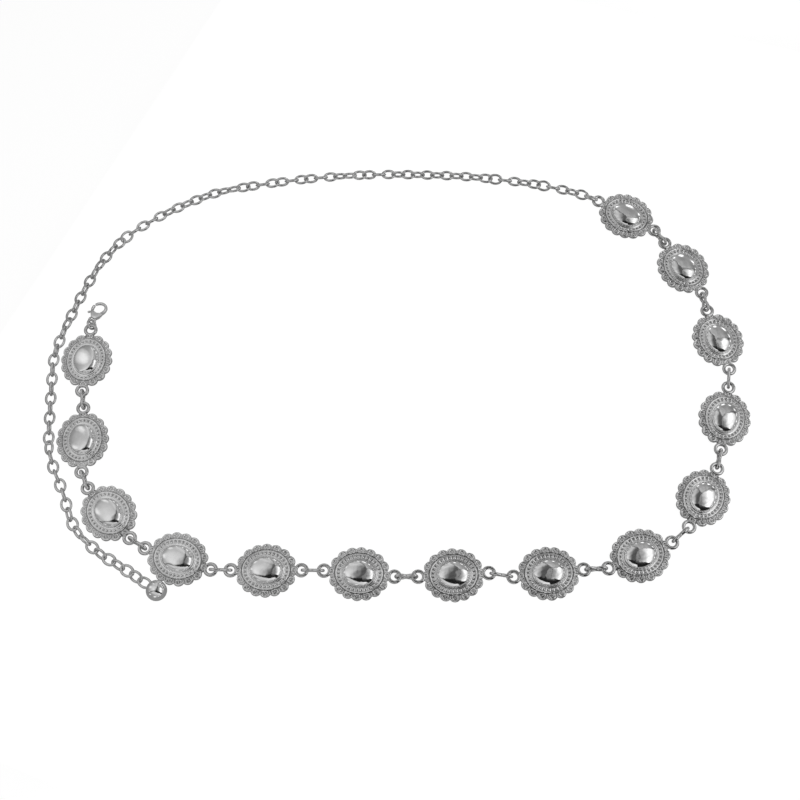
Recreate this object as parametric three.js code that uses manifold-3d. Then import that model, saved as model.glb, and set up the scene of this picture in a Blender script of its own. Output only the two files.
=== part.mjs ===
// Waist chain: fourteen oval conchos joined by pinched wire links, a long extension chain with an end ball,
// and a lobster clasp, lying open on a flat surface. Millimetres, +Z up, the surface is z = 0.
import * as THREE from 'three';
import { mergeVertices } from 'three/addons/utils/BufferGeometryUtils.js';
import Module from 'manifold-3d';

const wasm = await Module();
wasm.setup();

// Clearance between pieces that touch on the real chain
const gap = 0.3;

// Concho plate
const plateLength = 30;
const plateWidth = 26.4;
const plateThickness = 1.3;
const lobeCount = 16;
const lobeRadius = 2.9;

// Raised rim, bead trench and dome on the plate
const rimLength = 22.6;
const rimWidth = 19;
const rimHeight = 1;
const rimBreadth = 1;
const rimTaper = 0.15;
const trenchHeight = 0.3;
const trenchSlope = 0.3;
const domeLength = 15.8;
const domeWidth = 12.4;
const domeHeight = 3.6;
const domeWall = 1.2;

// Dome profile: out is a share of its half length, up of its height
const domeShoulders = [
  { out: 1, up: 0.25 },
  { out: 0.84, up: 0.68 },
  { out: 0.45, up: 0.95 },
];

// Flat loops soldered to the ends of the plate
const loopHole = 3.8;
const loopWire = 1.6;
const loopRise = 0.2;
const loopStandOff = 0.1;

// Pinched connector links
const connectorLength = 11.4;
const connectorWidth = 5;
const connectorWire = 1.3;
const connectorWaist = 0.91;

// Jump ring, clasp and lever
const ringDiameter = 6;
const ringWire = 1;
const ringRoll = 52;
const ringSlack = 0.4;
const ringHeading = 88;
const eyeSlack = 0.45;
const claspHeading = 64;
const claspReach = 6.9;
const claspEyeRadius = 2.15;
const claspEyeHole = 2.6;
const claspEyeThickness = 1.1;
const claspRadius = 3.75;
const claspHole = 5.2;
const claspThickness = 2.6;
const leverThickness = 1;
const gateThickness = 2.2;
const gateBreadth = 1;
const gateReach = 5.6;
const gateTopAngle = 118;
const gateRootAngle = 216;
const gateRootClearance = 15;
const pivotSide = 1.6;
const pivotReach = 3.2;
const pivotRadius = 0.45;
const leverRootRadius = 1.05;
const leverOpening = 26;
const nubLength = 1.9;
const nubRadius = 0.7;
const nubTilt = 100;
const nubDrop = 0.1;
const nubSink = 0.3;
const nubLap = 10;

// The lever's tang runs from beside the pivot into the gate, and turns on a pin in a slot of the body
const tangFoot = { inner: 0.75, innerRise: 0.6, outer: 0.85, outerRise: 0.5 };
const tangInset = 0.05;
const tangLap = 8;
const pivotPlay = 0.24;
const pinInset = 0.1;
const gateCutRadius = 1;
const slotInner = 0.2;
const slotReach = 2.6;
const slotClosed = 56;
const slotTo = 165;

// Extension chain and end ball
const chainWidth = 6.1;
const chainClearance = 0.39;
const chainSteps = 66;
const ballDiameter = 10;

// Where the first concho lies
const firstConcho = { x: -161.3, y: 22 };

// One row for each concho, from the clasp to the chain. heading: direction of its long axis in degrees.
// linkHeading: direction of the link that follows it. slack: share of that link's play that is taken up.
const belt = [
  { heading: -92, linkHeading: -81, slack: 0.6 },
  { heading: -86, linkHeading: -65, slack: 0.7 },
  { heading: -48, linkHeading: -33, slack: 0.7 },
  { heading: -18, linkHeading: -2, slack: 0.6 },
  { heading: 0, linkHeading: -1, slack: 0.3 },
  { heading: -5, linkHeading: 0, slack: 0.15 },
  { heading: 3, linkHeading: -9, slack: 0 },
  { heading: 6, linkHeading: 3, slack: 0 },
  { heading: 22, linkHeading: 41, slack: 0 },
  { heading: 61, linkHeading: 74, slack: 0.35 },
  { heading: 78, linkHeading: 82, slack: 0.4 },
  { heading: 104, linkHeading: 100, slack: 0.3 },
  { heading: 120, linkHeading: 123, slack: 0.7 },
  { heading: 148, linkHeading: 0, slack: 0 },
];

// Route of the extension chain from the last concho to the ball. A row with beside lies against the outer
// edge of that concho, counted from 1: along is how far past its middle, towards the clasp, and inward is
// how much closer than beside its widest place.
const chainRoute = [
  { x: 100, y: 119.3 },
  { x: 89.5, y: 122.6 },
  { x: 74, y: 126.2 },
  { x: 54, y: 129.2 },
  { x: 36, y: 131.2 },
  { x: 14, y: 132.2 },
  { x: -8, y: 132.5 },
  { x: -30, y: 131.6 },
  { x: -56, y: 129 },
  { x: -77.5, y: 125.7 },
  { x: -98, y: 121.4 },
  { x: -113.5, y: 115 },
  { x: -131.5, y: 104.9 },
  { x: -147, y: 93 },
  { x: -157.5, y: 79.6 },
  { x: -164.5, y: 65.3 },
  { x: -170, y: 51 },
  { x: -175.2, y: 35.5 },
  { beside: 1, along: 0 },
  { x: -177.6, y: 8 },
  { x: -176.8, y: -8 },
  { beside: 2, along: 0 },
  { x: -174.6, y: -29 },
  { x: -171.4, y: -38 },
  { x: -166.6, y: -48 },
  { beside: 3, along: 6 },
  { beside: 3, along: -5 },
  { beside: 3, along: -13.5, inward: 1.2 },
  { beside: 4, along: 22, inward: 3.9 },
];

// The ball lies beside this concho, under the edge of its plate
const ballPlace = { beside: 4, along: 3.2, inward: 0.7 };

// Sizes that follow from those above
const loopRadius = (loopHole + loopWire) / 2;
const loopReach = plateLength / 2 + loopHole / 2 + loopStandOff;
const connectorHalf = (connectorLength - connectorWire) / 2;
const connectorHeight = connectorWidth / 2;
const plateBack = connectorHeight - loopWire / 2 - loopRise;
const linkPlay = loopHole / 2 - connectorWire / 2 - gap;
const chainHeight = chainWidth / 2;

const silver = { color: 0xc9cbcd, roughness: 0.22, metalness: 1 };
const palerSilver = { color: 0xd6d7d8, roughness: 0.32, metalness: 1 };
const group = new THREE.Group();
const laidOut = new THREE.Group();
group.add(laidOut);

const radians = (degrees) => THREE.MathUtils.degToRad(degrees);

function polar(origin, distance, degrees) {
  const angle = radians(degrees);
  return { x: origin.x + distance * Math.cos(angle), y: origin.y + distance * Math.sin(angle) };
}

function addMesh(name, geometry, look) {
  const mesh = new THREE.Mesh(geometry, new THREE.MeshStandardMaterial(look));
  mesh.name = name;
  laidOut.add(mesh);
  return mesh;
}

// Joining and cutting closed meshes
function toSolid(geometry) {
  const bare = geometry.clone();
  bare.deleteAttribute('normal');
  bare.deleteAttribute('uv');
  const merged = mergeVertices(bare, 1e-4);
  return new wasm.Manifold(new wasm.Mesh({
    numProp: 3,
    vertProperties: new Float32Array(merged.attributes.position.array),
    triVerts: new Uint32Array(merged.index.array),
  }));
}

function toGeometry(solid) {
  const mesh = solid.getMesh();
  const geometry = new THREE.BufferGeometry();
  geometry.setAttribute('position', new THREE.BufferAttribute(new Float32Array(mesh.vertProperties), 3));
  geometry.setIndex(new THREE.BufferAttribute(new Uint32Array(mesh.triVerts), 1));
  geometry.computeVertexNormals();
  return geometry;
}

function join(solids) {
  return solids.reduce((whole, next) => whole.add(next));
}

// A solid of revolution about Z from rows of [radius, height], squeezed in y to an oval
function ovalSolid(rows, sides, squeeze) {
  const profile = rows.map(([radius, height]) => new THREE.Vector2(radius, height));
  const geometry = new THREE.LatheGeometry(profile, sides);
  geometry.rotateX(Math.PI / 2);
  geometry.scale(1, squeeze, 1);
  return toSolid(geometry);
}

function slab(shape, thickness, middle, arcSteps) {
  const options = { depth: thickness, bevelEnabled: false, curveSegments: arcSteps };
  const geometry = new THREE.ExtrudeGeometry(shape, options);
  geometry.translate(0, 0, middle - thickness / 2);
  return toSolid(geometry);
}

function discShape(centre, radius) {
  return new THREE.Shape().absarc(centre.x, centre.y, radius, 0, 2 * Math.PI, false);
}

// The scalloped outline: equal round lobes whose centres lie evenly along an oval, one at each end
function scallopShape() {
  const a = plateLength / 2 - lobeRadius;
  const b = plateWidth / 2 - lobeRadius;
  const oval = new THREE.EllipseCurve(0, 0, a, b, 0, 2 * Math.PI, false, 0);
  const centres = oval.getSpacedPoints(lobeCount);
  const shape = new THREE.Shape();
  for (let i = 0; i < lobeCount; i += 1) {
    const before = centres[(i + lobeCount - 1) % lobeCount];
    const here = centres[i];
    const after = centres[(i + 1) % lobeCount];
    const start = lobeCusp(before, here).sub(here);
    const end = lobeCusp(here, after).sub(here);
    shape.absarc(here.x, here.y, lobeRadius, start.angle(), end.angle(), false);
  }
  return shape;
}

// The outer crossing of two neighbouring lobes
function lobeCusp(first, second) {
  const middle = first.clone().add(second).multiplyScalar(0.5);
  const across = second.clone().sub(first);
  const out = new THREE.Vector2(across.y, -across.x).normalize();
  return middle.addScaledVector(out, Math.sqrt(lobeRadius ** 2 - across.lengthSq() / 4));
}

// One concho about its own centre, its back on z = 0 and its long axis on X
function conchoGeometry() {
  const sides = 18;
  const hollowSides = 12;
  const top = plateThickness;
  const trench = top + trenchHeight;
  const rim = rimLength / 2;
  const dome = domeLength / 2;
  const plate = slab(scallopShape(), plateThickness, plateThickness / 2, 2);
  const border = ovalSolid([
    [0, top / 2],
    [rim, top / 2],
    [rim - rimTaper, top + rimHeight],
    [rim - rimBreadth, top + rimHeight],
    [rim - rimBreadth - trenchSlope, trench],
    [0, trench],
  ], sides, rimWidth / rimLength);
  const domed = ovalSolid([
    [0, top / 2],
    [dome, top / 2],
    ...domeShoulders.map(({ out, up }) => [dome * out, trench + up * domeHeight]),
    [0, trench + domeHeight],
  ], sides, domeWidth / domeLength);
  const [shoulder, , crown] = domeShoulders;
  const ceiling = trench + crown.up * domeHeight - domeWall;
  const hollow = ovalSolid([
    [0, -top],
    [dome - domeWall / 2, -top],
    [dome - domeWall, trench + shoulder.up * domeHeight - domeWall / 2],
    [dome * crown.out, ceiling],
    [0, ceiling],
  ], hollowSides, (domeWidth / 2 - domeWall) / (dome - domeWall));
  const loops = [-1, 1].map((side) => {
    const loop = new THREE.TorusGeometry(loopRadius, loopWire / 2, 5, 10);
    loop.translate(side * loopReach, 0, loopRise + loopWire / 2);
    return toSolid(loop);
  });
  return toGeometry(join([plate, border, domed, ...loops]).subtract(hollow));
}

// A peanut-shaped oval (the product of the distances to two foci is constant) in the XZ plane
class PinchedLoop extends THREE.Curve {
  getPoint(t, target = new THREE.Vector3()) {
    const halfLengthSquared = connectorHalf ** 2;
    const waistSquared = connectorWaist ** 2;
    const bSquared = (halfLengthSquared + waistSquared) / 2;
    const cSquared = (halfLengthSquared - waistSquared) / 2;
    const angle = 2 * Math.PI * t;
    const root = Math.sqrt(bSquared ** 2 - (cSquared * Math.sin(2 * angle)) ** 2);
    const radius = Math.sqrt(cSquared * Math.cos(2 * angle) + root);
    const natural = bSquared / (2 * Math.sqrt(cSquared));
    const stretch = (connectorWidth - connectorWire) / 2 / natural;
    return target.set(radius * Math.cos(angle), 0, stretch * radius * Math.sin(angle));
  }
}

function connectorGeometry() {
  return new THREE.TubeGeometry(new PinchedLoop(), 16, connectorWire / 2, 5, true);
}

// Belt: each concho is placed from the one before it
const places = [];
let centre = firstConcho;
belt.forEach((row, i) => {
  const front = polar(centre, loopReach, row.heading);
  const span = 2 * connectorHalf + 2 * linkPlay * (1 - 2 * row.slack);
  places.push({ ...row, centre, front, back: polar(centre, -loopReach, row.heading), span });
  if (i + 1 < belt.length) {
    const nextLoop = polar(front, span, row.linkHeading);
    centre = polar(nextLoop, loopReach, belt[i + 1].heading);
  }
});

const concho = conchoGeometry();
const connector = connectorGeometry();
const numbered = (i) => String(i + 1).padStart(2, '0');
places.forEach((place, i) => {
  const plate = addMesh(`concho_${numbered(i)}`, concho, silver);
  plate.position.set(place.centre.x, place.centre.y, plateBack);
  plate.rotation.z = radians(place.heading);
  if (i + 1 < places.length) {
    const middle = polar(place.front, place.span / 2, place.linkHeading);
    const link = addMesh(`connector_${numbered(i)}`, connector, silver);
    link.position.set(middle.x, middle.y, connectorHeight);
    link.rotation.z = radians(place.linkHeading);
  }
});

// Jump ring through the first concho's free loop and the clasp's eye, rolled over to pass through both
const ringRadius = (ringDiameter - ringWire) / 2;
const ringReach = ringRadius + loopHole / 2 - ringWire / 2 - gap - ringSlack;
const ringCentre = polar(places[0].back, ringReach, ringHeading);
const ringGeometry = new THREE.TorusGeometry(ringRadius, ringWire / 2, 5, 14);
ringGeometry.rotateX(radians(ringRoll));
const ring = addMesh('jump_ring', ringGeometry, silver);
ring.position.set(ringCentre.x, ringCentre.y, connectorHeight);
ring.rotation.z = radians(ringHeading);

// Clasp, drawn flat with its eye at the origin and its axis along +Y
const eye = { x: 0, y: 0 };
const claw = { x: 0, y: claspReach };
const pivot = { x: -pivotSide, y: pivotReach };
const gateOuter = claspHole / 2 + gateBreadth;

// Two circles joined by their outer tangents
function teardropShape() {
  const lean = (Math.asin((claspRadius - claspEyeRadius) / claspReach) * 180) / Math.PI;
  const shape = new THREE.Shape();
  shape.absarc(claw.x, claw.y, claspRadius, radians(-lean), radians(180 + lean), false);
  shape.absarc(eye.x, eye.y, claspEyeRadius, radians(180 + lean), radians(360 - lean), false);
  return shape;
}

function wedgeShape(origin, inner, outer, fromAngle, toAngle) {
  const shape = new THREE.Shape();
  shape.absarc(origin.x, origin.y, outer, radians(fromAngle), radians(toAngle), false);
  shape.absarc(origin.x, origin.y, inner, radians(toAngle), radians(fromAngle), true);
  return shape;
}

function claspBodySolid() {
  const slot = leverThickness + 2 * gap;
  const cheekAngle = gateRootAngle + gateRootClearance;
  const cuts = [
    slab(discShape(claw, claspHole / 2), 2 * claspThickness, 0, 5),
    slab(discShape(eye, claspEyeHole / 2), 2 * claspThickness, 0, 4),
    slab(
      wedgeShape(claw, gateCutRadius, 2 * claspRadius, gateTopAngle, cheekAngle),
      2 * claspThickness,
      0,
      3,
    ).intersect(slab(discShape(pivot, gateReach + gap), 2 * claspThickness, 0, 12)),
    slab(discShape(pivot, leverRootRadius + gap), slot, 0, 5),
    slab(wedgeShape(pivot, slotInner, slotReach, slotClosed - leverOpening, slotTo), slot, 0, 3),
  ];
  const pin = slab(discShape(pivot, pivotRadius), claspThickness - 2 * pinInset, 0, 3);
  const thick = slab(discShape(claw, claspReach - claspEyeHole / 2), claspThickness, 0, 8);
  const drop = slab(teardropShape(), claspThickness, 0, 6).intersect(thick);
  const blank = drop.add(slab(teardropShape(), claspEyeThickness, 0, 6));
  return cuts.reduce((body, cut) => body.subtract(cut), blank).add(pin);
}

function leverSolid() {
  const gate = slab(wedgeShape(claw, claspHole / 2, gateOuter, gateTopAngle, gateRootAngle), gateThickness, 0, 6)
    .intersect(slab(discShape(pivot, gateReach), gateThickness, 0, 12));
  const tang = new THREE.Shape();
  const top = polar(claw, claspHole / 2 + tangInset, gateRootAngle - tangLap);
  const outerTop = polar(claw, gateOuter - tangInset, gateRootAngle - tangLap);
  tang.moveTo(pivot.x + tangFoot.inner, pivot.y + tangFoot.innerRise);
  tang.lineTo(top.x, top.y);
  tang.lineTo(outerTop.x, outerTop.y);
  tang.lineTo(pivot.x - tangFoot.outer, pivot.y + tangFoot.outerRise);
  const root = slab(tang, leverThickness, 0, 1);
  const hub = slab(discShape(pivot, leverRootRadius), leverThickness, 0, 4);
  const hole = slab(discShape(pivot, pivotRadius + pivotPlay), 2 * leverThickness, 0, 4);
  const nubRoot = polar(claw, gateOuter - nubSink, gateRootAngle - nubLap);
  const nub = new THREE.CapsuleGeometry(nubRadius, nubLength - nubRadius, 2, 8, 1);
  nub.rotateZ(radians(nubTilt));
  nub.translate(nubRoot.x - nubLength / 2, nubRoot.y - nubDrop, 0);
  return join([gate, root, hub, toSolid(nub)]).subtract(hole);
}

const eyePlace = polar(ringCentre, ringRadius + claspEyeHole / 2 - ringWire / 2 - gap - eyeSlack, ringHeading);
for (const [name, solid] of [['clasp_body', claspBodySolid()], ['clasp_lever', leverSolid()]]) {
  const mesh = addMesh(name, toGeometry(solid), palerSilver);
  mesh.position.set(eyePlace.x, eyePlace.y, connectorHeight);
  mesh.rotation.z = radians(claspHeading - 90);
}

// Extension chain: one tube as wide as its links, from the last concho's free loop to the ball
function besideConcho({ beside, along, inward = 0 }, width) {
  const { centre: middle, heading } = places[beside - 1];
  const out = plateWidth / 2 + chainClearance + width / 2 - inward;
  return polar(polar(middle, out, heading - 90), -along, heading);
}

const lastPlace = places[places.length - 1];
const routePoints = chainRoute.map((row) => (row.beside ? besideConcho(row, chainWidth) : row));
const ballCentre = besideConcho(ballPlace, ballDiameter);
const startHeading = Math.atan2(routePoints[0].y - lastPlace.front.y, routePoints[0].x - lastPlace.front.x);
const tubeStart = polar(
  lastPlace.front,
  loopRadius + loopWire / 2 + gap,
  THREE.MathUtils.radToDeg(startHeading),
);
const lastPoint = routePoints[routePoints.length - 1];
const endHeading = Math.atan2(lastPoint.y - ballCentre.y, lastPoint.x - ballCentre.x);
const tubeEnd = polar(ballCentre, ballDiameter / 2 + gap, THREE.MathUtils.radToDeg(endHeading));
const chainPath = new THREE.CatmullRomCurve3(
  [tubeStart, ...routePoints, tubeEnd].map(({ x, y }) => new THREE.Vector3(x, y, chainHeight)),
  false,
  'centripetal',
);
const section = new THREE.Shape().absarc(0, 0, chainWidth / 2, 0, 2 * Math.PI, false);
const chain = new THREE.ExtrudeGeometry(section, { extrudePath: chainPath, steps: chainSteps, curveSegments: 4 });
addMesh('extension_chain', chain, silver);

const ballGeometry = new THREE.SphereGeometry(ballDiameter / 2, 16, 10);
ballGeometry.rotateX(Math.PI / 2);
const ball = addMesh('end_ball', ballGeometry, silver);
ball.position.set(ballCentre.x, ballCentre.y, ballDiameter / 2);

// The origin is under the middle of the whole chain
const box = new THREE.Box3().setFromObject(laidOut, true);
laidOut.position.set(-(box.min.x + box.max.x) / 2, -(box.min.y + box.max.y) / 2, -box.min.z);

export default group;
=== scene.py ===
import math
import bpy
import numpy as np
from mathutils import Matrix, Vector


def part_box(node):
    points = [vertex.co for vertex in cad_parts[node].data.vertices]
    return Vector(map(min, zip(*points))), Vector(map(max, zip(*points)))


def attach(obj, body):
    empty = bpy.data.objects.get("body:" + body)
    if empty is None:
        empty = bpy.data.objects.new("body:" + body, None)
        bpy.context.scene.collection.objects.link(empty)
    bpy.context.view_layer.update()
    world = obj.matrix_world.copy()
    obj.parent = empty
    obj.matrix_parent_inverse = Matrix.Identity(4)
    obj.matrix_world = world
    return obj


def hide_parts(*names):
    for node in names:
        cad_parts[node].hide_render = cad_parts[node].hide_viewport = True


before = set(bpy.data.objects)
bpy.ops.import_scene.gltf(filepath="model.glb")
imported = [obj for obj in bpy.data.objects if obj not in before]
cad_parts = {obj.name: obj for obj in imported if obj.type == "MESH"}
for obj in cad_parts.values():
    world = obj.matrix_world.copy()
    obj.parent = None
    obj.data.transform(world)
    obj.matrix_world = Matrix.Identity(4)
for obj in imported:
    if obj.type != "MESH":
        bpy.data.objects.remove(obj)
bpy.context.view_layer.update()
mm = 0.001
print("frame loaded")

# Camera at the photograph's angle. The target is the middle of the picture, on the level of the wire links.
view = {"target": (1.547, -15.981, 2.2), "elevation": 68.4, "distance": 613, "lens": 54.3, "sensor": 36}


def makeCamera():
    tilt = math.radians(view["elevation"])
    x, y, z = view["target"]
    data = bpy.data.cameras.new("studioCamera")
    data.lens, data.sensor_width = view["lens"], view["sensor"]
    data.clip_start, data.clip_end = 0.01, 20
    camera = bpy.data.objects.new("studioCamera", data)
    back, rise = view["distance"] * math.cos(tilt), view["distance"] * math.sin(tilt)
    camera.location = (x * mm, (y - back) * mm, (z + rise) * mm)
    camera.rotation_euler = (math.pi / 2 - tilt, 0, 0)
    bpy.context.scene.collection.objects.link(camera)
    bpy.context.scene.camera = camera


makeCamera()
print("camera placed")


# Mesh helpers: a surface is a dictionary of points, four-cornered and three-cornered faces, and a painted shade value
# for each point
def gridSurface(points, paintedShade=None, wrapRows=False, startPole=None, endPole=None):
    # rows run one way and columns run round; each face joins a point to the next row and the next column
    rows, cols = points.shape[:2]
    index = np.arange(rows * cols).reshape(rows, cols)
    here = index if wrapRows else index[:-1]
    there = np.roll(index, -1, 0) if wrapRows else index[1:]
    quads = np.stack([here, there, np.roll(there, -1, 1), np.roll(here, -1, 1)], -1).reshape(-1, 4)
    flat = points.reshape(-1, 3)
    values = np.zeros(len(flat)) if paintedShade is None else np.asarray(paintedShade, float).ravel()
    fans = []
    for pole, ring, first in ((startPole, index[0], True), (endPole, index[-1], False)):
        if pole is None:
            continue
        tip = np.full(cols, len(flat))
        flat = np.vstack([flat, pole])
        values = np.append(values, values[ring[0]])
        after = np.roll(ring, -1)
        fans.append(np.stack([tip, ring, after] if first else [ring, tip, after], -1))
    tris = np.vstack(fans) if fans else np.zeros((0, 3), int)
    return {"points": flat, "quads": quads, "tris": tris, "paintedShade": values}


def tubeAlong(path, side, up, halfWide, halfHigh, around, closed=True):
    # a rounded section carried along a path: point = path + side * halfWide * cos + up * halfHigh * sin
    turn = np.linspace(0, 2 * np.pi, around, endpoint=False)
    wide = np.broadcast_to(np.asarray(halfWide, float), len(path))[:, None, None]
    high = np.broadcast_to(np.asarray(halfHigh, float), len(path))[:, None, None]
    points = (path[:, None, :] + side[:, None, :] * wide * np.cos(turn)[None, :, None]
              + up[:, None, :] * high * np.sin(turn)[None, :, None])
    if closed:
        return gridSurface(points, wrapRows=True)
    return gridSurface(points, startPole=path[0], endPole=path[-1])


def placed(surface, x, y, z, heading, roll=0.0):
    # rolled about its own long axis, turned to its heading, and moved to its place
    h, r = math.radians(heading), math.radians(roll)
    turnZ = np.array([[math.cos(h), -math.sin(h), 0], [math.sin(h), math.cos(h), 0], [0, 0, 1]])
    turnX = np.array([[1, 0, 0], [0, math.cos(r), -math.sin(r)], [0, math.sin(r), math.cos(r)]])
    return {**surface, "points": surface["points"] @ (turnZ @ turnX).T + np.array([x, y, z])}


def addPiece(name, surfaces, body, material, stoodFor=()):
    starts = np.cumsum([0] + [len(s["points"]) for s in surfaces])
    points = np.vstack([s["points"] for s in surfaces]) * mm
    quads = np.vstack([s["quads"] + k for s, k in zip(surfaces, starts)])
    tris = np.vstack([s["tris"] + k for s, k in zip(surfaces, starts)])
    corners = np.concatenate([quads.ravel(), tris.ravel()]).astype(np.int32)
    sizes = np.concatenate([np.full(len(quads), 4), np.full(len(tris), 3)])
    mesh = bpy.data.meshes.new(name)
    mesh.vertices.add(len(points))
    mesh.vertices.foreach_set("co", points.astype(np.float32).ravel())
    mesh.loops.add(len(corners))
    mesh.loops.foreach_set("vertex_index", corners)
    mesh.polygons.add(len(sizes))
    mesh.polygons.foreach_set("loop_start", np.concatenate([[0], np.cumsum(sizes)[:-1]]).astype(np.int32))
    mesh.update(calc_edges=True)
    mesh.validate()
    mesh.shade_smooth()
    paintedShade = mesh.attributes.new("paintedShade", "FLOAT", "POINT")
    paintedShade.data.foreach_set("value", np.concatenate([s["paintedShade"] for s in surfaces]).astype(np.float32))
    mesh.materials.append(material)
    piece = bpy.data.objects.new(name, mesh)
    bpy.context.scene.collection.objects.link(piece)
    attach(piece, body)
    if stoodFor:
        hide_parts(*stoodFor)
    return piece


# Materials. Noise scales are per metre.
plating = {"cloudScale": 120, "cloudDetail": 3, "cloudFrom": 0.35, "cloudTo": 0.65, "cloudMost": 0.12,
           "grainDetail": 2, "rippleScale": 330, "rippleDetail": 1, "bumpUnit": 0.0001}


def nodeMaker(tree):
    def add(kind, **settings):
        node = tree.nodes.new(kind)
        for key, value in settings.items():
            setattr(node, key, value)
        return node
    return add


def wearAndPaintedShadeGroup():
    # shared by every silver finish: cloudy plating, fine grain, slow ripples, and painted shade that darkens recesses
    # and the parts under the plate
    group = bpy.data.node_groups.new("platingWearAndPaintedShade", "ShaderNodeTree")
    sockets = group.interface
    for name in ("Light", "Dark"):
        sockets.new_socket(name, in_out="INPUT", socket_type="NodeSocketColor")
    for name in ("Painted Recess Shade", "Polish", "Dullness", "Grain Size", "Grain", "Ripple"):
        sockets.new_socket(name, in_out="INPUT", socket_type="NodeSocketFloat")
    for name, kind in (("Colour", "NodeSocketColor"), ("Roughness", "NodeSocketFloat"), ("Height", "NodeSocketFloat")):
        sockets.new_socket(name, in_out="OUTPUT", socket_type=kind)
    add, link = nodeMaker(group), group.links.new
    given, out = add("NodeGroupInput"), add("NodeGroupOutput")
    where = add("ShaderNodeTexCoord")
    clouds = add("ShaderNodeTexNoise")
    clouds.inputs["Scale"].default_value = plating["cloudScale"]
    clouds.inputs["Detail"].default_value = plating["cloudDetail"]
    grain = add("ShaderNodeTexNoise")
    grain.inputs["Detail"].default_value = plating["grainDetail"]
    link(where.outputs["Object"], clouds.inputs["Vector"])
    link(where.outputs["Object"], grain.inputs["Vector"])
    link(given.outputs["Grain Size"], grain.inputs["Scale"])
    # painted shade: each point's painted shade value, times the finish's recess amount, darkens the colour towards Dark
    # and dulls it
    paintedShade = add("ShaderNodeAttribute", attribute_name="paintedShade")
    depth = add("ShaderNodeMath", operation="MULTIPLY", use_clamp=True)
    link(paintedShade.outputs["Fac"], depth.inputs[0])
    link(given.outputs["Painted Recess Shade"], depth.inputs[1])
    cloudShare = add("ShaderNodeMapRange")
    for key, value in (("From Min", "cloudFrom"), ("From Max", "cloudTo"), ("To Max", "cloudMost")):
        cloudShare.inputs[key].default_value = plating[value]
    link(clouds.outputs["Fac"], cloudShare.inputs["Value"])
    dark = add("ShaderNodeMath", operation="ADD", use_clamp=True)
    link(depth.outputs[0], dark.inputs[0])
    link(cloudShare.outputs["Result"], dark.inputs[1])
    colour = add("ShaderNodeMix", data_type="RGBA")
    link(dark.outputs[0], colour.inputs["Factor"])
    link(given.outputs["Light"], colour.inputs[6])
    link(given.outputs["Dark"], colour.inputs[7])
    rough = add("ShaderNodeMix", data_type="FLOAT")
    link(dark.outputs[0], rough.inputs["Factor"])
    link(given.outputs["Polish"], rough.inputs[2])
    link(given.outputs["Dullness"], rough.inputs[3])
    link(colour.outputs[2], out.inputs["Colour"])
    link(rough.outputs[0], out.inputs["Roughness"])
    # height = grain * its amount + slow ripples of the casting * their amount
    ripple = add("ShaderNodeTexNoise")
    ripple.inputs["Scale"].default_value = plating["rippleScale"]
    ripple.inputs["Detail"].default_value = plating["rippleDetail"]
    link(where.outputs["Object"], ripple.inputs["Vector"])
    fine = add("ShaderNodeMath", operation="MULTIPLY")
    slow = add("ShaderNodeMath", operation="MULTIPLY_ADD")
    link(grain.outputs["Fac"], fine.inputs[0])
    link(given.outputs["Grain"], fine.inputs[1])
    link(ripple.outputs["Fac"], slow.inputs[0])
    link(given.outputs["Ripple"], slow.inputs[1])
    link(fine.outputs[0], slow.inputs[2])
    link(slow.outputs[0], out.inputs["Height"])
    return group


def silverMaterial(name, look, wearAndShade):
    material = bpy.data.materials.new(name)
    material.use_nodes = True
    tree = material.node_tree
    add, link = nodeMaker(tree), tree.links.new
    shader = tree.nodes["Principled BSDF"]
    shader.inputs["Metallic"].default_value = 1
    group = add("ShaderNodeGroup", node_tree=wearAndShade)
    for key, value in look.items():
        group.inputs[key].default_value = value
    bump = add("ShaderNodeBump")
    bump.inputs["Distance"].default_value = plating["bumpUnit"]  # one unit of height is a tenth of a millimetre
    link(group.outputs["Colour"], shader.inputs["Base Color"])
    link(group.outputs["Roughness"], shader.inputs["Roughness"])
    link(group.outputs["Height"], bump.inputs["Height"])
    link(bump.outputs["Normal"], shader.inputs["Normal"])
    return material


# the recess amount in each finish scales its painted shade
finishes = {
    "polishedPlate": {"Light": (1.0, 1.0, 1.0, 1), "Dark": (0.06, 0.06, 0.06, 1), "Painted Recess Shade": 0.92,
                      "Polish": 0.09, "Dullness": 0.3, "Grain Size": 1500.0, "Grain": 0.05, "Ripple": 1.3},
    "brightWire": {"Light": (0.76, 0.76, 0.76, 1), "Dark": (0.15, 0.15, 0.15, 1), "Painted Recess Shade": 1.0, "Polish": 0.14,
                   "Dullness": 0.35, "Grain Size": 1800.0, "Grain": 0.06, "Ripple": 1.0},
    "satinPlate": {"Light": (0.95, 0.95, 0.95, 1), "Dark": (0.4, 0.4, 0.4, 1), "Painted Recess Shade": 1.0, "Polish": 0.3,
                   "Dullness": 0.42, "Grain Size": 2500.0, "Grain": 0.1, "Ripple": 0.8},
}
wearAndShade = wearAndPaintedShadeGroup()
materials = {name: silverMaterial(name, look, wearAndShade) for name, look in finishes.items()}
print("materials made")

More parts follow.
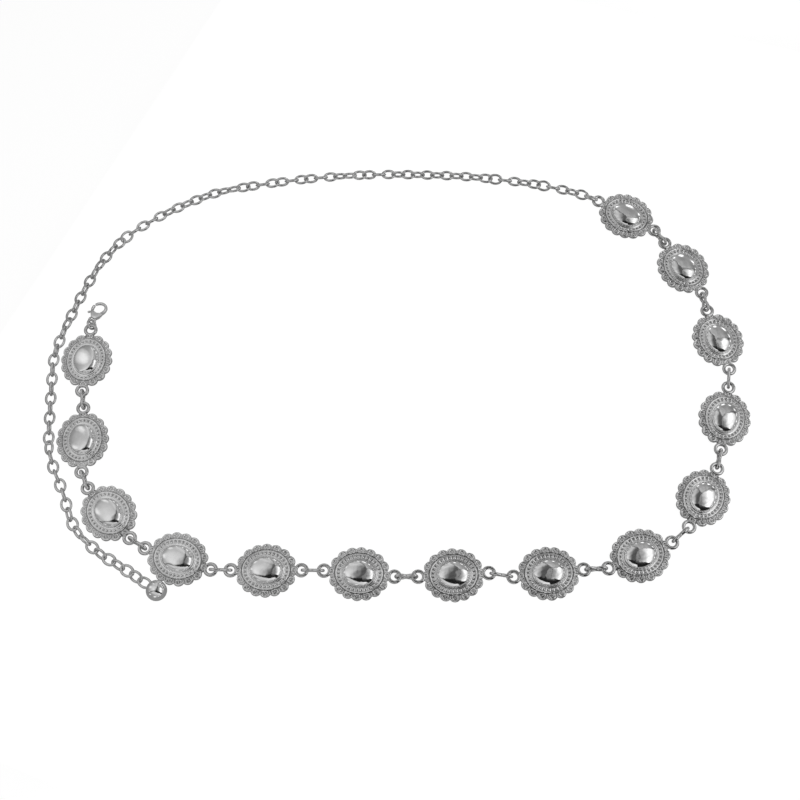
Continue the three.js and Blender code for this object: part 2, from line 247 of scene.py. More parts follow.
# Concho: sizes in mm, levels are heights above its flat back
concho = {
    "headings": (-92, -86, -48, -18, 0, -5, 3, 6, 22, 61, 78, 104, 120, 148),
    "halfLength": 15, "narrower": 1.8, "lobes": 16, "lobeRadius": 2.9, "around": 384,
    "beads": 30, "beadPlace": 9.9, "beadHalfLong": 0.58, "beadHalfWide": 0.72, "beadHeight": 0.48,
    "beadRings": 7, "beadRingSpan": 0.95, "gapPlace": 10.05, "gapHalf": 0.6, "gapHalfAcross": 0.55,
    "domeHalf": 8.1, "domeHalfWide": 6.62, "domeBase": 1.6, "domeHeight": 3.6, "domePower": 2.4, "domeRings": 19,
    "loopCentre": 17.0, "loopRadius": 2.7, "wireRadius": 0.85, "loopLevel": 1.0,
    "lobeStart": 11.85, "lobeStep": 0.3, "lobeMiddle": 12, "lobeFall": 3, "lobeInner": 1.72, "lobeOuter": 0.72,
    "lobeRings": 17, "edgeInset": 0.06, "ridge": 0.62, "borderInset": 0.36, "borderHalf": 0.42,
    "dropPlace": 13.15, "dropPlaceAtLoop": 13.6, "dropHalf": 0.62, "dropLift": 1.1,
    "ringRadius": 1.28, "ringHalf": 0.42,
    # levels from the dome's foot over the inner rim, the trench and the outer rim to the groove: half length, height
    "levels": ((8.12, 1.5), (8.24, 1.52), (8.36, 1.62), (8.6, 1.76), (8.85, 1.78), (9.08, 1.7), (9.22, 1.56),
               (9.3, 1.5), (10.48, 1.5), (10.58, 1.66), (10.7, 1.98), (10.86, 2.24), (11.02, 2.36), (11.18, 2.36),
               (11.34, 2.22), (11.48, 2.0), (11.6, 1.72), (11.72, 1.48), (11.82, 1.4)),
    # painted shade in the hollows, between the beads, on the lobes away from their ridges, under the plate and on the
    # loops: how strong, and where it lies
    "loopPaintedShade": 0.3, "lobePaintedShade": 0.45, "ridgeUnshaded": 3, "dotPaintedShade": 1.1, "trenchPaintedShade": 0.18,
    "trench": (9.24, 10.52), "footPaintedShade": 0.8, "footPlace": 8.2, "footHalf": 0.16,
    "groovePaintedShade": 0.9, "groovePlace": 11.78, "grooveHalf": 0.2, "backPaintedShade": 0.3,
    # back: the edge's rings as inset and height, the flat's two rings, then the hollow as share and height
    "wall": 1.2, "edgeRings": ((0, 0.55), (0, 0.2), (0.12, 0.03), (0.3, 0.0)), "flatRings": (11.5, 8.2),
    "hollow": ((1.0, 0.02), (0.98, 1.3), (0.9, 2.4), (0.7, 3.3), (0.4, 3.75), (0.15, 3.85)), "hollowTop": 3.87,
}


def smoothHump(distance, halfWidth):
    # one at the middle, falling as a raised cosine to nothing at the half width
    return np.cos(np.clip(distance / halfWidth, -1, 1) * np.pi / 2) ** 2


def arcShares(halfLong, halfWide, count):
    # angles of an oval's own parameter at which equal shares of its length have passed
    fine = np.linspace(0, 2 * np.pi, 7201)
    speed = np.hypot(halfLong * np.sin(fine), halfWide * np.cos(fine))
    passed = np.concatenate([[0], np.cumsum((speed[1:] + speed[:-1]) / 2)])
    passed /= passed[-1]
    return np.interp(np.arange(count) / count, passed, fine), lambda angle: np.interp(angle, fine, passed)


def ovalLength(p):
    # length round an oval of the concho, from the mean square of its two half sizes
    return 2 * np.pi * np.sqrt((p ** 2 + (p - concho["narrower"]) ** 2) / 2)


def conchoSurface():
    # Every ring is an oval of half length p and half width p minus a constant, with equal steps of arc round it.
    # Height is a chain of levels in p, plus beads, height = (1 - r^2)^(1/2), and ridges on the lobes, each a raised
    # cosine of its distance.
    c = concho
    lobeHalf = c["halfLength"] - c["lobeRadius"]
    angle, lobeShare = arcShares(lobeHalf, lobeHalf - c["narrower"], c["around"])
    beadShare = arcShares(c["beadPlace"], c["beadPlace"] - c["narrower"], 1)[1](angle)
    cosA, sinA = np.cos(angle), np.sin(angle)
    # outline: along each ray the farthest crossing with any lobe's circle
    centreAngle = arcShares(lobeHalf, lobeHalf - c["narrower"], c["lobes"])[0]
    lobeX, lobeY = lobeHalf * np.cos(centreAngle), (lobeHalf - c["narrower"]) * np.sin(centreAngle)
    startY = -c["narrower"] * sinA
    along = cosA[:, None] * lobeX + sinA[:, None] * (lobeY - startY[:, None])
    across = lobeX ** 2 + (lobeY - startY[:, None]) ** 2 - along ** 2
    inLobe = c["lobeRadius"] ** 2 - across
    reach = np.where(inLobe > 0, along + np.sqrt(np.clip(inLobe, 0, None)), 0)
    edge = reach.max(1)
    # rings from the groove to the edge follow the outline, and those inside it are plain ovals
    levelPlace, levelHeight = np.array(c["levels"]).T
    beadRings = np.linspace(-1, 1, c["beadRings"]) * c["beadHalfLong"] * c["beadRingSpan"] + c["beadPlace"]
    clear = (levelPlace < beadRings[0]) | (levelPlace > beadRings[-1])
    inner = np.unique(np.concatenate([levelPlace[clear], beadRings]))
    share = np.linspace(0, 1, c["lobeRings"] + 1)[1:]
    ringsIn = np.broadcast_to(inner[:, None], (len(inner), c["around"]))
    ringsOut = inner[-1] + share[:, None] * (edge - c["edgeInset"] - inner[-1])
    p = np.vstack([ringsIn, ringsOut])
    x, y = p * cosA, (p - c["narrower"]) * sinA
    height = np.interp(p, levelPlace, levelHeight)
    # beads: half ovals, a little wider along the trench than across it
    beadPitch = ovalLength(c["beadPlace"]) / c["beads"]
    beadSide = ((beadShare * c["beads"] + 0.5) % 1 - 0.5) * beadPitch
    beadFar = np.sqrt((beadSide / c["beadHalfWide"]) ** 2 + ((p - c["beadPlace"]) / c["beadHalfLong"]) ** 2)
    bead = np.sqrt(np.clip(1 - np.clip(beadFar, 0, 1) ** 2, 0, 1))
    height = height + c["beadHeight"] * bead
    # painted shade: the trench is a little dark beside the beads, and darkest in the dots between them
    fromGap = beadPitch / 2 - np.abs(beadSide)
    betweenBeads = smoothHump(fromGap, c["gapHalfAcross"]) * smoothHump(p - c["gapPlace"], c["gapHalf"])
    besideBeads = c["trenchPaintedShade"] * (1 - np.clip(bead * 2, 0, 1))
    inTrench = (p > c["trench"][0]) & (p < c["trench"][1])
    paintedShade = np.where(inTrench, np.maximum(c["dotPaintedShade"] * betweenBeads, besideBeads), 0)
    # painted shade in the groove at the dome's foot
    paintedShade = np.maximum(paintedShade, c["footPaintedShade"] * smoothHump(p - c["footPlace"], c["footHalf"]))
    # lobes: a ridge along each lobe's own circle, a ring inside it, and a drop in the ring
    lobeCount = lobeShare(angle) * c["lobes"]
    nearest = np.round(lobeCount).astype(int) % c["lobes"]
    spacing = ovalLength(p) / c["lobes"]
    sideways = ((lobeCount + 0.5) % 1 - 0.5) * spacing
    toOutline = c["lobeRadius"] - np.hypot(x - lobeX[nearest], y - lobeY[nearest])
    atEnd = np.isin(nearest, (0, c["lobes"] // 2))
    fromDrop = np.hypot(sideways, p - np.where(atEnd, c["dropPlaceAtLoop"], c["dropPlace"]))
    border = np.where(atEnd, 0, smoothHump(toOutline - c["borderInset"], c["borderHalf"]))
    ring = smoothHump(fromDrop - c["ringRadius"], c["ringHalf"])
    ridges = np.maximum(np.maximum(border, ring), c["dropLift"] * smoothHump(fromDrop, c["dropHalf"]))
    onLobe = np.clip((p - c["lobeStart"]) / c["lobeStep"], 0, 1)
    lobeLevel = c["lobeInner"] + (c["lobeOuter"] - c["lobeInner"]) * (p - c["lobeMiddle"]) / c["lobeFall"]
    groove, pastGroove = levelHeight[-1], p > inner[-1] + 0.01
    height = np.where(pastGroove, groove + (lobeLevel + c["ridge"] * ridges - groove) * onLobe, height)
    # painted shade on the lobes, lifted off their ridges, and deepest in the groove before the lobes
    paintedShade = np.where(pastGroove, c["lobePaintedShade"] * (1 - np.clip(ridges * c["ridgeUnshaded"], 0, 1)), paintedShade)
    paintedShade = np.maximum(paintedShade, c["groovePaintedShade"] * smoothHump(p - c["groovePlace"], c["grooveHalf"]))
    relief = np.stack([x, y, height], -1)
    # dome: height = (1 - r^power)^(1/power), an oval that bulges to its shoulders
    r = np.sin(np.linspace(0, np.pi / 2, c["domeRings"] + 1)[1:])
    lift = (1 - r ** c["domePower"]).clip(0) ** (1 / c["domePower"])
    domeX, domeY = c["domeHalf"] * r[:, None] * cosA, c["domeHalfWide"] * r[:, None] * sinA
    domeZ = np.broadcast_to((c["domeBase"] + c["domeHeight"] * lift)[:, None], domeX.shape)
    dome = np.stack([domeX, domeY, domeZ], -1)

    # edge, flat back and the hollow behind the dome
    def ringAt(half, level):
        half = np.broadcast_to(half, c["around"])
        return np.stack([half * cosA, (half - c["narrower"]) * sinA, np.full(c["around"], level)], -1)

    under = [ringAt(edge - inset, level) for inset, level in c["edgeRings"]]
    under += [ringAt(half, 0.0) for half in c["flatRings"]]
    hollowHalf, hollowWide = c["domeHalf"] - c["wall"] / 2, c["domeHalfWide"] - c["wall"] / 2
    for r, level in c["hollow"]:
        under.append(np.stack([hollowHalf * r * cosA, hollowWide * r * sinA, np.full(c["around"], level)], -1))
    under = np.array(under)
    points = np.concatenate([dome, relief, under])
    # the dome has no painted shade; the edge, the flat back and the hollow have an even painted shade
    values = np.concatenate([np.zeros(dome.shape[:2]), paintedShade, np.full(under.shape[:2], c["backPaintedShade"])])
    top, bottom = (0, 0, c["domeBase"] + c["domeHeight"]), (0, 0, c["hollowTop"])
    return gridSurface(points, values, startPole=top, endPole=bottom)


def ringSurface(radius, wire, long=48, around=14):
    # torus: a circle of wire carried round a circle
    turn = np.linspace(0, 2 * np.pi, long, endpoint=False)
    out = np.stack([np.cos(turn), np.sin(turn), 0 * turn], -1)
    up = np.broadcast_to([0.0, 0.0, 1.0], out.shape)
    return tubeAlong(out * radius, out, up, wire, wire, around)


def buildConchos():
    plate = conchoSurface()
    loop = ringSurface(concho["loopRadius"], concho["wireRadius"])
    # the loops, which run under the plate's ends and hold the links, have an even painted shade
    loop["paintedShade"] = loop["paintedShade"] + concho["loopPaintedShade"]
    for i, heading in enumerate(concho["headings"]):
        node = f"concho_{i + 1:02d}"
        low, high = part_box(node)
        x, y, z = (low.x + high.x) / 2 / mm, (low.y + high.y) / 2 / mm, low.z / mm
        parts = [plate] + [placed(loop, s * concho["loopCentre"], 0, concho["loopLevel"], 0) for s in (-1, 1)]
        whole = [placed(part, x, y, z, heading) for part in parts]
        addPiece(f"concho{i + 1:02d}", whole, "chain", materials["polishedPlate"], [node])
    print("conchos built,", len(plate["quads"]) * 2, "triangles each")


buildConchos()

# Pinched links between the conchos
connector = {
    "headings": (-81, -65, -33, -2, -1, 0, -9, 3, 41, 74, 82, 100, 123),
    "rolls": (12, 14, -10, 14, 12, -12, 10, -8, 10, 12, -14, 30, 16),
    "half": 5.05, "wireRadius": 0.76, "waist": 0.98, "halfHigh": 1.62, "steps": 72, "around": 12,
}


def pinchedSurface():
    # path: a Cassini oval, where the product of the distances to two points is constant, standing on edge
    c = connector
    turn = np.linspace(0, 2 * np.pi, c["steps"], endpoint=False)
    b2, c2 = (c["half"] ** 2 + c["waist"] ** 2) / 2, (c["half"] ** 2 - c["waist"] ** 2) / 2
    radius = np.sqrt(c2 * np.cos(2 * turn) + np.sqrt(b2 ** 2 - (c2 * np.sin(2 * turn)) ** 2))
    stretch = c["halfHigh"] / (b2 / (2 * math.sqrt(c2)))
    path = np.stack([radius * np.cos(turn), 0 * turn, stretch * radius * np.sin(turn)], -1)
    tangent = np.roll(path, -1, 0) - np.roll(path, 1, 0)
    tangent /= np.linalg.norm(tangent, axis=1)[:, None]
    side = np.broadcast_to([0.0, 1.0, 0.0], path.shape)
    return tubeAlong(path, np.cross(tangent, side), side, c["wireRadius"], c["wireRadius"], c["around"])


def buildConnectors():
    link = pinchedSurface()
    for i, (heading, roll) in enumerate(zip(connector["headings"], connector["rolls"])):
        node = f"connector_{i + 1:02d}"
        low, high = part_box(node)
        middle = (low + high) / 2 / mm
        piece = placed(link, *middle, heading, roll)
        addPiece(f"connector{i + 1:02d}", [piece], "chain", materials["brightWire"], [node])
    print("connectors built")


buildConnectors()

# Extension chain. Its route is a row of places in the frame of the belt, or beside a concho.
# The look has a letter for each link: R flat, E on edge and H half turned.
chain = {
    "look": "HRERHHRERHHRERERERER" "ERHERRERHE" "RHERHERRER" "ERERERHRHH" "RERRERERER" "RERERERERE" "RERRERERER"
            "HRHERHRHRR" "R",
    "rolls": {"R": 4, "E": 86, "H": 44}, "rollSteps": (0, 6, 12, 18, 24, 28), "widestForHalf": 90, "leastApart": 50,
    "long": 7.95, "wide": 6.1, "wireRadius": 0.66, "level": 3.05, "steps": 26, "around": 8,
    "firstConcho": (-161.3, 22), "plateHalf": 13.2, "clearance": 0.39, "startAt": 4.5, "endAt": 7.6, "ballRadius": 5,
    "curveSteps": 60, "lookAhead": 2.5,
    "route": ((100, 119.3), (89.5, 122.6), (74, 126.2), (54, 129.2), (36, 131.2), (14, 132.2), (-8, 132.5),
              (-30, 131.6), (-56, 129), (-77.5, 125.7), (-98, 121.4), (-113.5, 115), (-131.5, 104.9), (-147, 93),
              (-157.5, 79.6), (-164.5, 65.3), (-170, 51), (-175.2, 35.5), {"beside": 1, "along": 0}, (-177.6, 8),
              (-176.8, -8), {"beside": 2, "along": 0}, (-174.6, -29), (-171.4, -38), (-166.6, -48),
              {"beside": 3, "along": 6}, {"beside": 3, "along": -5}, {"beside": 3, "along": -13.5, "inward": 1.2},
              {"beside": 4, "along": 22, "inward": 3.9}),
    "ball": {"beside": 4, "along": 3.2, "inward": 0.7},
}


def conchoCentre(number):
    low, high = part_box(f"concho_{number:02d}")
    return np.array([(low.x + high.x) / 2, (low.y + high.y) / 2]) / mm


def besideConcho(row, width):
    # out from the concho's middle on its outer side, by its half width, the clearance and half the chain's width
    heading = math.radians(concho["headings"][row["beside"] - 1])
    along = np.array([math.cos(heading), math.sin(heading)])
    out = chain["plateHalf"] + chain["clearance"] + width / 2 - row.get("inward", 0)
    return conchoCentre(row["beside"]) + out * np.array([along[1], -along[0]]) - row["along"] * along


def smoothRoute():
    # a centripetal curve through the points: each stretch is blended from its four nearest points
    shift = conchoCentre(1) - np.array(chain["firstConcho"])
    heading = math.radians(concho["headings"][-1])
    start = conchoCentre(14) + concho["loopCentre"] * np.array([math.cos(heading), math.sin(heading)])
    ball = besideConcho(chain["ball"], 2 * chain["ballRadius"])
    middle = [besideConcho(row, chain["wide"]) if isinstance(row, dict) else np.array(row) + shift
              for row in chain["route"]]
    points = np.array([start, *middle, ball])
    points = np.vstack([2 * points[0] - points[1], points, 2 * points[-1] - points[-2]])
    line = []
    for k in range(1, len(points) - 2):
        p0, p1, p2, p3 = points[k - 1:k + 3]
        t0 = 0
        t1 = t0 + math.sqrt(np.linalg.norm(p1 - p0))
        t2 = t1 + math.sqrt(np.linalg.norm(p2 - p1))
        t3 = t2 + math.sqrt(np.linalg.norm(p3 - p2))
        t = np.linspace(t1, t2, chain["curveSteps"], endpoint=False)[:, None]
        a1, a2 = p0 + (p1 - p0) * t / t1, p1 + (p2 - p1) * (t - t1) / (t2 - t1)
        a3 = p2 + (p3 - p2) * (t - t2) / (t3 - t2)
        b1, b2 = a1 + (a2 - a1) * t / t2, a2 + (a3 - a2) * (t - t1) / (t3 - t1)
        line.append(b1 + (b2 - b1) * (t - t1) / (t2 - t1))
    line = np.vstack(line + [points[-2:-1]])
    return line, np.concatenate([[0], np.cumsum(np.linalg.norm(np.diff(line, axis=0), axis=1))])


def linkRolls():
    # from the look of each link: flat, on edge or half turned, and far enough from the one before to pass through it
    rolls = []
    for letter in chain["look"]:
        *steps, widest = chain["rollSteps"]
        steps.append(chain["widestForHalf"] if letter == "H" else widest)
        tries = [chain["rolls"][letter] + side * step for step in steps for side in (1, -1)]
        if rolls:
            apart = [min(abs(t - rolls[-1]) % 180, 180 - abs(t - rolls[-1]) % 180) for t in tries]
            fits = [t for t, a in zip(tries, apart) if a >= chain["leastApart"]]
            rolls.append(fits[0] if fits else tries[int(np.argmax(apart))])
        else:
            rolls.append(tries[0])
    return rolls


def linkSurface():
    # an oval of wire, lying flat
    c = chain
    turn = np.linspace(0, 2 * np.pi, c["steps"], endpoint=False)
    halfLong, halfWide = c["long"] / 2 - c["wireRadius"], c["wide"] / 2 - c["wireRadius"]
    path = np.stack([halfLong * np.cos(turn), halfWide * np.sin(turn), 0 * turn], -1)
    out = np.stack([np.cos(turn) / halfLong, np.sin(turn) / halfWide, 0 * turn], -1)
    out /= np.linalg.norm(out, axis=1)[:, None]
    up = np.broadcast_to([0.0, 0.0, 1.0], path.shape)
    return tubeAlong(path, out, up, c["wireRadius"], c["wireRadius"], c["around"])


def buildChain():
    line, passed = smoothRoute()
    rolls = linkRolls()
    places = np.linspace(chain["startAt"], passed[-1] - chain["endAt"], len(rolls))
    x, y = np.interp(places, passed, line[:, 0]), np.interp(places, passed, line[:, 1])
    near, far = places - chain["lookAhead"], places + chain["lookAhead"]
    ahead = [np.interp(far, passed, line[:, k]) - np.interp(near, passed, line[:, k]) for k in (0, 1)]
    headings = np.degrees(np.arctan2(ahead[1], ahead[0]))
    link = linkSurface()
    links = [placed(link, x[i], y[i], chain["level"], headings[i], rolls[i]) for i in range(len(rolls))]
    addPiece("chainLinks", links, "chain", materials["brightWire"], ["extension_chain"])
    print("chain built,", len(rolls), "links, pitch", round((places[-1] - places[0]) / (len(rolls) - 1), 3))


buildChain()

# Ball at the free end
ball = {"rows": 38, "around": 64}


def buildBall():
    low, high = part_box("end_ball")
    x, y, z = (low + high) / 2 / mm
    radius = (high.x - low.x) / 2 / mm
    tilt = np.linspace(0, np.pi, ball["rows"] + 2)[1:-1, None]
    turn = np.linspace(0, 2 * np.pi, ball["around"], endpoint=False)
    points = np.stack([np.sin(tilt) * np.cos(turn), np.sin(tilt) * np.sin(turn), np.cos(tilt) + 0 * turn], -1) * radius
    sphere = placed(gridSurface(points, startPole=(0, 0, radius), endPole=(0, 0, -radius)), x, y, z, 0)
    addPiece("endBall", [sphere], "chain", materials["polishedPlate"], ["end_ball"])


buildBall()
print("ball built")

# Jump ring, rolled over so that it passes through the concho's loop and the clasp's eye
ring = {"radius": 2.4, "wireRadius": 0.6, "heading": 88, "roll": 52, "steps": 44, "around": 12}


def buildRing():
    low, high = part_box("jump_ring")
    hoop = ringSurface(ring["radius"], ring["wireRadius"], ring["steps"], ring["around"])
    piece = placed(hoop, *((low + high) / 2 / mm), ring["heading"], ring["roll"])
    addPiece("jumpRing", [piece], "chain", materials["brightWire"], ["jump_ring"])


buildRing()

# Lobster clasp, drawn with its eye at the origin and its axis along +Y. Rows are x, y, half width, half height.
clasp = {
    "heading": 64, "clawAt": 6.9, "clawOut": 3.75, "pivot": (-1.6, 3.2),
    "hook": ((0.4, 2.2, 0.6, 0.9), (1.4, 3.4, 0.8, 1.2), (2.3, 4.7, 0.9, 1.25), (2.95, 5.9, 0.86, 1.25),
             (3.32, 7.1, 0.8, 1.2), (3.22, 8.5, 0.78, 1.15), (2.45, 9.65, 0.76, 1.1), (1.1, 10.3, 0.75, 1.05),
             (-0.4, 10.2, 0.74, 1.0), (-1.75, 9.55, 0.72, 0.95), (-2.6, 8.75, 0.68, 0.9), (-2.95, 8.2, 0.6, 0.85)),
    "gate": ((-1.75, 3.4, 0.5, 0.45), (-2.3, 4.1, 0.65, 0.5), (-2.8, 4.8, 0.72, 0.9), (-3.12, 5.6, 0.74, 1.05),
             (-3.24, 6.5, 0.74, 1.05), (-3.2, 7.3, 0.7, 0.95), (-3.05, 8.0, 0.6, 0.8)),
    "nub": ((-2.9, 4.3, 0.5, 0.5), (-3.5, 3.75, 0.5, 0.6), (-4.1, 3.2, 0.6, 0.66), (-4.5, 2.85, 0.52, 0.55)),
    "hookSteps": 48, "gateSteps": 36, "nubSteps": 20, "barAround": 14, "barEnd": 5, "pillowAround": 40,
    "cheek": ((-0.9, 1.1), (0.9, 1.0), (2.1, 1.8), (2.8, 3.1), (3.05, 4.6), (2.3, 5.0), (1.3, 4.72), (0.2, 4.35),
              (-1.1, 4.65), (-2.2, 5.2), (-2.95, 5.0), (-2.95, 3.9), (-2.1, 2.4)),
    "core": ((-0.9, 1.2), (0.9, 1.1), (2.05, 1.9), (2.75, 3.1), (2.95, 4.5), (2.3, 4.9), (1.3, 4.6), (0.55, 4.0),
             (0.3, 3.1), (-0.1, 2.3), (-0.6, 1.8)),
    "cheekLevel": 0.9, "cheekOut": 0.5, "cheekIn": 0.08, "coreHalf": 1.15,
    "rivet": 0.5, "rivetLevel": 1.3, "rivetHalf": 0.12, "hub": 0.95, "hubHalf": 0.5,
    "eyeRadius": 1.72, "eyeWide": 0.46, "eyeHigh": 0.58, "eyeSteps": 40, "eyeAround": 12,
}


def smoothThrough(points, count, closed=False):
    # Catmull-Rom curve: each stretch blends the points beside it so that the slopes meet
    points = np.array(points, float)
    if closed:
        padded, stretches = np.vstack([points[-1:], points, points[:2]]), len(points)
    else:
        padded = np.vstack([2 * points[0] - points[1], points, 2 * points[-1] - points[-2]])
        stretches = len(points) - 1
    where = np.linspace(0, stretches, count, endpoint=not closed)
    k = np.minimum(where.astype(int), stretches - 1)
    t = (where - k)[:, None]
    a, b, c, d = (padded[k + i] for i in range(4))
    return 0.5 * (2 * b + (c - a) * t + (2 * a - 5 * b + 4 * c - d) * t ** 2 + (3 * b - a - 3 * c + d) * t ** 3)


def taperedBar(rows, steps):
    # a rounded bar through the rows; both ends close as half ovals
    line = smoothThrough(rows, steps)
    path = np.stack([line[:, 0], line[:, 1], 0 * line[:, 0]], -1)
    tangent = np.gradient(path, axis=0)
    tangent /= np.linalg.norm(tangent, axis=1)[:, None]
    end = np.sqrt(1 - np.linspace(0.97, 0, clasp["barEnd"]) ** 2)
    shrink = np.concatenate([end, np.ones(steps - 2 * len(end)), end[::-1]])
    up = np.broadcast_to([0.0, 0.0, 1.0], path.shape)
    wide, high = line[:, 2] * shrink, line[:, 3] * shrink
    return tubeAlong(path, np.cross(tangent, up), up, wide, high, clasp["barAround"], closed=False)


def pillow(outline, level, over, under):
    # a plate with rounded edges: rings of the outline shrink towards its middle, level + thickness * (1 - s^4)^(1/2)
    edge = smoothThrough(outline, clasp["pillowAround"], closed=True)
    middle = edge.mean(0)
    share = np.array([0.35, 0.7, 0.88, 0.96, 1.0, 1.0, 0.96, 0.88, 0.7, 0.35])
    lift = np.sqrt(1 - share ** 4 * 0.98) * np.array([over] * 5 + [-under] * 5)
    flat = middle + share[:, None, None] * (edge - middle)
    points = np.concatenate([flat, np.broadcast_to((level + lift)[:, None, None], (*flat.shape[:2], 1))], -1)
    return gridSurface(points, startPole=(*middle, level + over), endPole=(*middle, level - under))


def circleAt(radius):
    turn = np.linspace(0, 2 * np.pi, 8, endpoint=False)
    return np.array(clasp["pivot"]) + radius * np.stack([np.cos(turn), np.sin(turn)], -1)


def buildClasp():
    low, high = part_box("clasp_body")
    turned = math.radians(clasp["heading"])
    # the claw's outer circle touches the box on its far sides, which gives the eye's place
    reach = np.array([math.cos(turned), math.sin(turned)]) * clasp["clawAt"]
    eye = np.array([high.x / mm - clasp["clawOut"], high.y / mm - clasp["clawOut"]]) - reach
    level = (low.z + high.z) / 2 / mm
    eyeRing = ringSurface(clasp["eyeRadius"], 1, clasp["eyeSteps"], clasp["eyeAround"])
    centre = eyeRing["points"] * [1, 1, 0]
    centre = centre / np.linalg.norm(centre, axis=1)[:, None] * clasp["eyeRadius"]
    offset = eyeRing["points"] - centre
    eyeRing["points"] = centre + offset * [clasp["eyeWide"], clasp["eyeWide"], clasp["eyeHigh"]]
    out, inside = clasp["cheekOut"], clasp["cheekIn"]
    rivetHead, rivetHalf = circleAt(clasp["rivet"]), clasp["rivetHalf"]
    body = [eyeRing, taperedBar(clasp["hook"], clasp["hookSteps"]),
            pillow(clasp["cheek"], clasp["cheekLevel"], out, inside),
            pillow(clasp["cheek"], -clasp["cheekLevel"], inside, out),
            pillow(rivetHead, -clasp["rivetLevel"], rivetHalf, rivetHalf),
            pillow(rivetHead, clasp["rivetLevel"], rivetHalf, rivetHalf),
            pillow(clasp["core"], 0, clasp["coreHalf"], clasp["coreHalf"])]
    lever = [taperedBar(clasp["gate"], clasp["gateSteps"]), taperedBar(clasp["nub"], clasp["nubSteps"]),
             pillow(circleAt(clasp["hub"]), 0, clasp["hubHalf"], clasp["hubHalf"])]
    for name, parts, rides, node in (("claspBody", body, "chain", "clasp_body"),
                                     ("claspLever", lever, "lever", "clasp_lever")):
        moved = [placed(part, eye[0], eye[1], level, clasp["heading"] - 90) for part in parts]
        addPiece(name, moved, rides, materials["satinPlate"], [node])
    print("ring and clasp built")


buildClasp()


# Studio: a light tent of soft glowing cloths that meet over the belt, open at the front right, and a pale floor.
# Places are in mm. A cloth has two feet and two tops, and a glow at each. Some have dark side seams, heights as shares
# between which the glow changes, a bright band as place, half width and strength, and pleats with their strength.
studio = {
    "middle": (1.5, -16), "steps": 48, "seamWidth": 0.045, "folds": 0.2,
    "pleatCount": 31, "pleatShift": 1.3, "pleatPlace": 0.09, "pleatHalf": 0.1,
    "cloths": {
        "left": {"corners": ((-291, -134, 0), (-80, 305, 0), (185, 200, 570), (0, -226, 570)),
                 "glow": (0.24, 0.18, 0.1, 0.08), "seams": (0.85, 0.8), "fade": (0.48, 0.76),
                 "hump": (0.32, 0.38, 0.42), "pleats": 0.5},
        "back": {"corners": ((-80, 305, 0), (530, 130, 0), (190, 200, 570), (185, 200, 570)),
                 "glow": (0.34, 0.18, 0.5, 0.56), "seams": (0.8, 0.9), "pleats": 1.8},
        "right": {"corners": ((530, 130, 0), (900, -600, 0), (180, -250, 570), (185, 200, 570)),
                  "glow": (0.3, 0.34, 0.33, 0.33), "seams": (0.9, 0.0), "hump": (0.58, 0.38, 0.9), "pleats": 1.8},
        "front": {"corners": ((110, -290, 0), (-291, -134, 0), (-183, -169, 211), (110, -290, 150)),
                  "glow": (0.5, 0.2, 0.24, 0.56), "seams": (0.0, 0.75), "hump": (0.65, 0.6, 0.33), "pleats": 1.0},
        "gap": {"corners": ((110, -290, 60), (900, -600, 60), (180, -250, 570), (40, -226, 570)),
                "glow": (0.01, 0.01, 0.12, 0.08), "fade": (0.3, 1)},
        "ridge": {"corners": ((170, -250, 568), (172, 205, 568), (200, 205, 568), (196, -250, 568)),
                  "glow": (0.02, 0.02, 0.02, 0.02)},
        "slit": {"corners": ((0, -226, 571), (185, 200, 571), (186, 200, 571), (180, -250, 571)),
                 "glow": (0.1, 0.4, 0.4, 0.2)},
        "lens": {"corners": ((-70, -290, 560), (-70, -160, 560), (60, -160, 560), (60, -290, 560)),
                 "glow": (0.01, 0.01, 0.01, 0.01)},
    },
    "room": 0.012, "backdrop": 0.9, "paperGlow": 0.17, "paperWhite": 0.95, "paperColour": 0.2, "paperHalf": 4,
}


def clothSurface(cloth):
    # points run evenly between the four corners; the glow changes smoothly over the heights of its fade, dips at a
    # seam, swells and sinks in soft folds, and has one bright band where a lamp stands behind it
    share = np.linspace(0, 1, studio["steps"])
    across, up = np.meshgrid(share, share, indexing="ij")

    def between(up):
        return np.stack([(1 - across) * (1 - up), across * (1 - up), across * up, (1 - across) * up], -1)
    points = between(up) @ (np.array(cloth["corners"], float) + np.array([*studio["middle"], 0]))
    first, last = cloth.get("seams", (0, 0))
    fromFirst, fromLast = across / studio["seamWidth"], (1 - across) / studio["seamWidth"]
    dip = first * np.exp(-fromFirst ** 2) + last * np.exp(-fromLast ** 2)
    start, end = cloth.get("fade", (0, 1))
    rise = np.clip((up - start) / (end - start), 0, 1)
    place, halfWidth, extra = cloth.get("hump", (0, 1, 0))
    folds = 1 + studio["folds"] * np.sin(11 * across + 3 * np.sin(5 * up)) * np.sin(9 * up + 2 * np.sin(6 * across) + 1)
    glow = between(rise ** 2 * (3 - 2 * rise)) @ np.array(cloth["glow"]) + extra * smoothHump(up - place, halfWidth)
    # low down, the pleats make bright and dark stripes
    stripes = np.clip(np.sin(studio["pleatCount"] * across + studio["pleatShift"]), 0, 1)
    stripes = stripes * smoothHump(up - studio["pleatPlace"], studio["pleatHalf"])
    return points * mm, glow * (1 - dip) * folds + cloth.get("pleats", 0) * stripes


def stageObject(name, points, faces, material):
    mesh = bpy.data.meshes.new(name)
    mesh.from_pydata(points, [], faces)
    mesh.materials.append(material)
    thing = bpy.data.objects.new(name, mesh)
    bpy.context.scene.collection.objects.link(thing)
    return thing


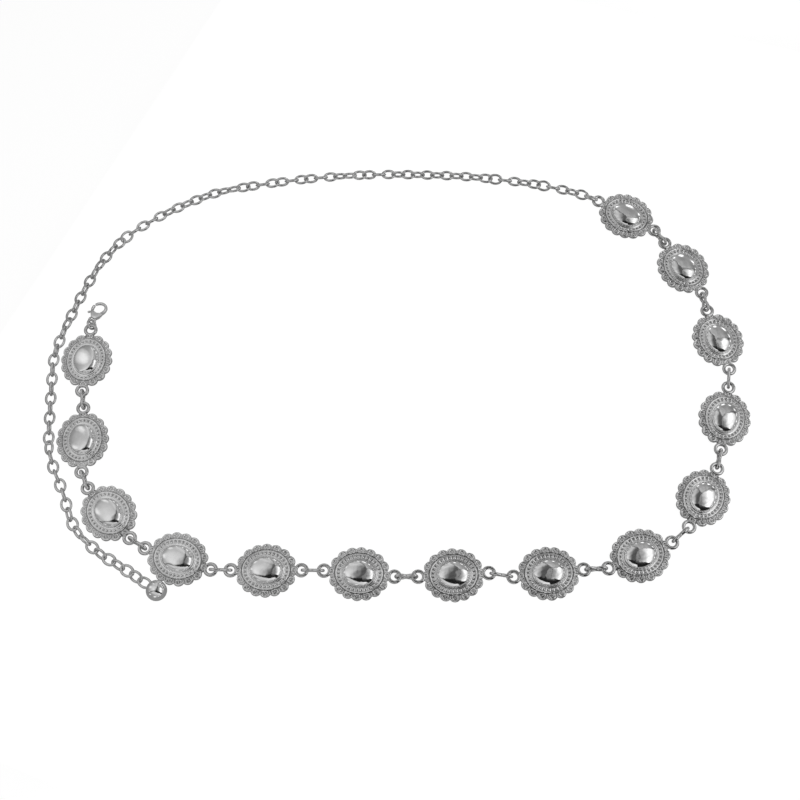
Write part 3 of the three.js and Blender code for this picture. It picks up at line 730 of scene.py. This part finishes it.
def makeCloths():
    glowing = bpy.data.materials.new("glowingCloth")
    glowing.use_nodes = True
    add, link = nodeMaker(glowing.node_tree), glowing.node_tree.links.new
    glowing.node_tree.nodes.remove(glowing.node_tree.nodes["Principled BSDF"])
    amount = add("ShaderNodeAttribute", attribute_name="glow")
    light = add("ShaderNodeEmission")
    link(amount.outputs["Fac"], light.inputs["Strength"])
    link(light.outputs[0], glowing.node_tree.nodes["Material Output"].inputs["Surface"])
    n = studio["steps"]
    corner = (np.arange(n - 1)[:, None] * n + np.arange(n - 1)).ravel()
    faces = np.stack([corner, corner + n, corner + n + 1, corner + 1], -1).tolist()
    for name, cloth in studio["cloths"].items():
        points, glow = clothSurface(cloth)
        sheet = stageObject(name + "Cloth", points.reshape(-1, 3).tolist(), faces, glowing)
        sheet.data.attributes.new("glow", "FLOAT", "POINT").data.foreach_set("value", glow.astype(np.float32).ravel())
        sheet.visible_camera = False
        sheet.visible_shadow = False


def makeFloor():
    paper = bpy.data.materials.new("palePaper")
    paper.use_nodes = True
    add, link = nodeMaker(paper.node_tree), paper.node_tree.links.new
    shader = paper.node_tree.nodes["Principled BSDF"]
    shader.inputs["Base Color"].default_value = (*[studio["paperColour"]] * 3, 1)
    shader.inputs["Roughness"].default_value = 0.9
    shader.inputs["Specular IOR Level"].default_value = 0
    shader.inputs["Emission Color"].default_value = (1, 1, 1, 1)
    path, level = add("ShaderNodeLightPath"), add("ShaderNodeMix", data_type="FLOAT")
    level.inputs[2].default_value, level.inputs[3].default_value = studio["paperGlow"], studio["paperWhite"]
    link(path.outputs["Is Camera Ray"], level.inputs["Factor"])
    link(level.outputs[0], shader.inputs["Emission Strength"])
    half = studio["paperHalf"]
    corners = [(-half, -half, 0), (half, -half, 0), (half, half, 0), (-half, half, 0)]
    stageObject("floor", corners, [(0, 1, 2, 3)], paper)


def makeRoom():
    world = bpy.data.worlds.new("room")
    bpy.context.scene.world = world
    world.use_nodes = True
    add, link = nodeMaker(world.node_tree), world.node_tree.links.new
    path, level = add("ShaderNodeLightPath"), add("ShaderNodeMix", data_type="FLOAT")
    level.inputs[2].default_value, level.inputs[3].default_value = studio["room"], studio["backdrop"]
    link(path.outputs["Is Camera Ray"], level.inputs["Factor"])
    link(level.outputs[0], world.node_tree.nodes["Background"].inputs["Strength"])
    world.node_tree.nodes["Background"].inputs["Color"].default_value = (1, 1, 1, 1)
    bpy.context.scene.view_settings.view_transform = "Standard"


makeCloths()
makeFloor()
makeRoom()
print("studio made")
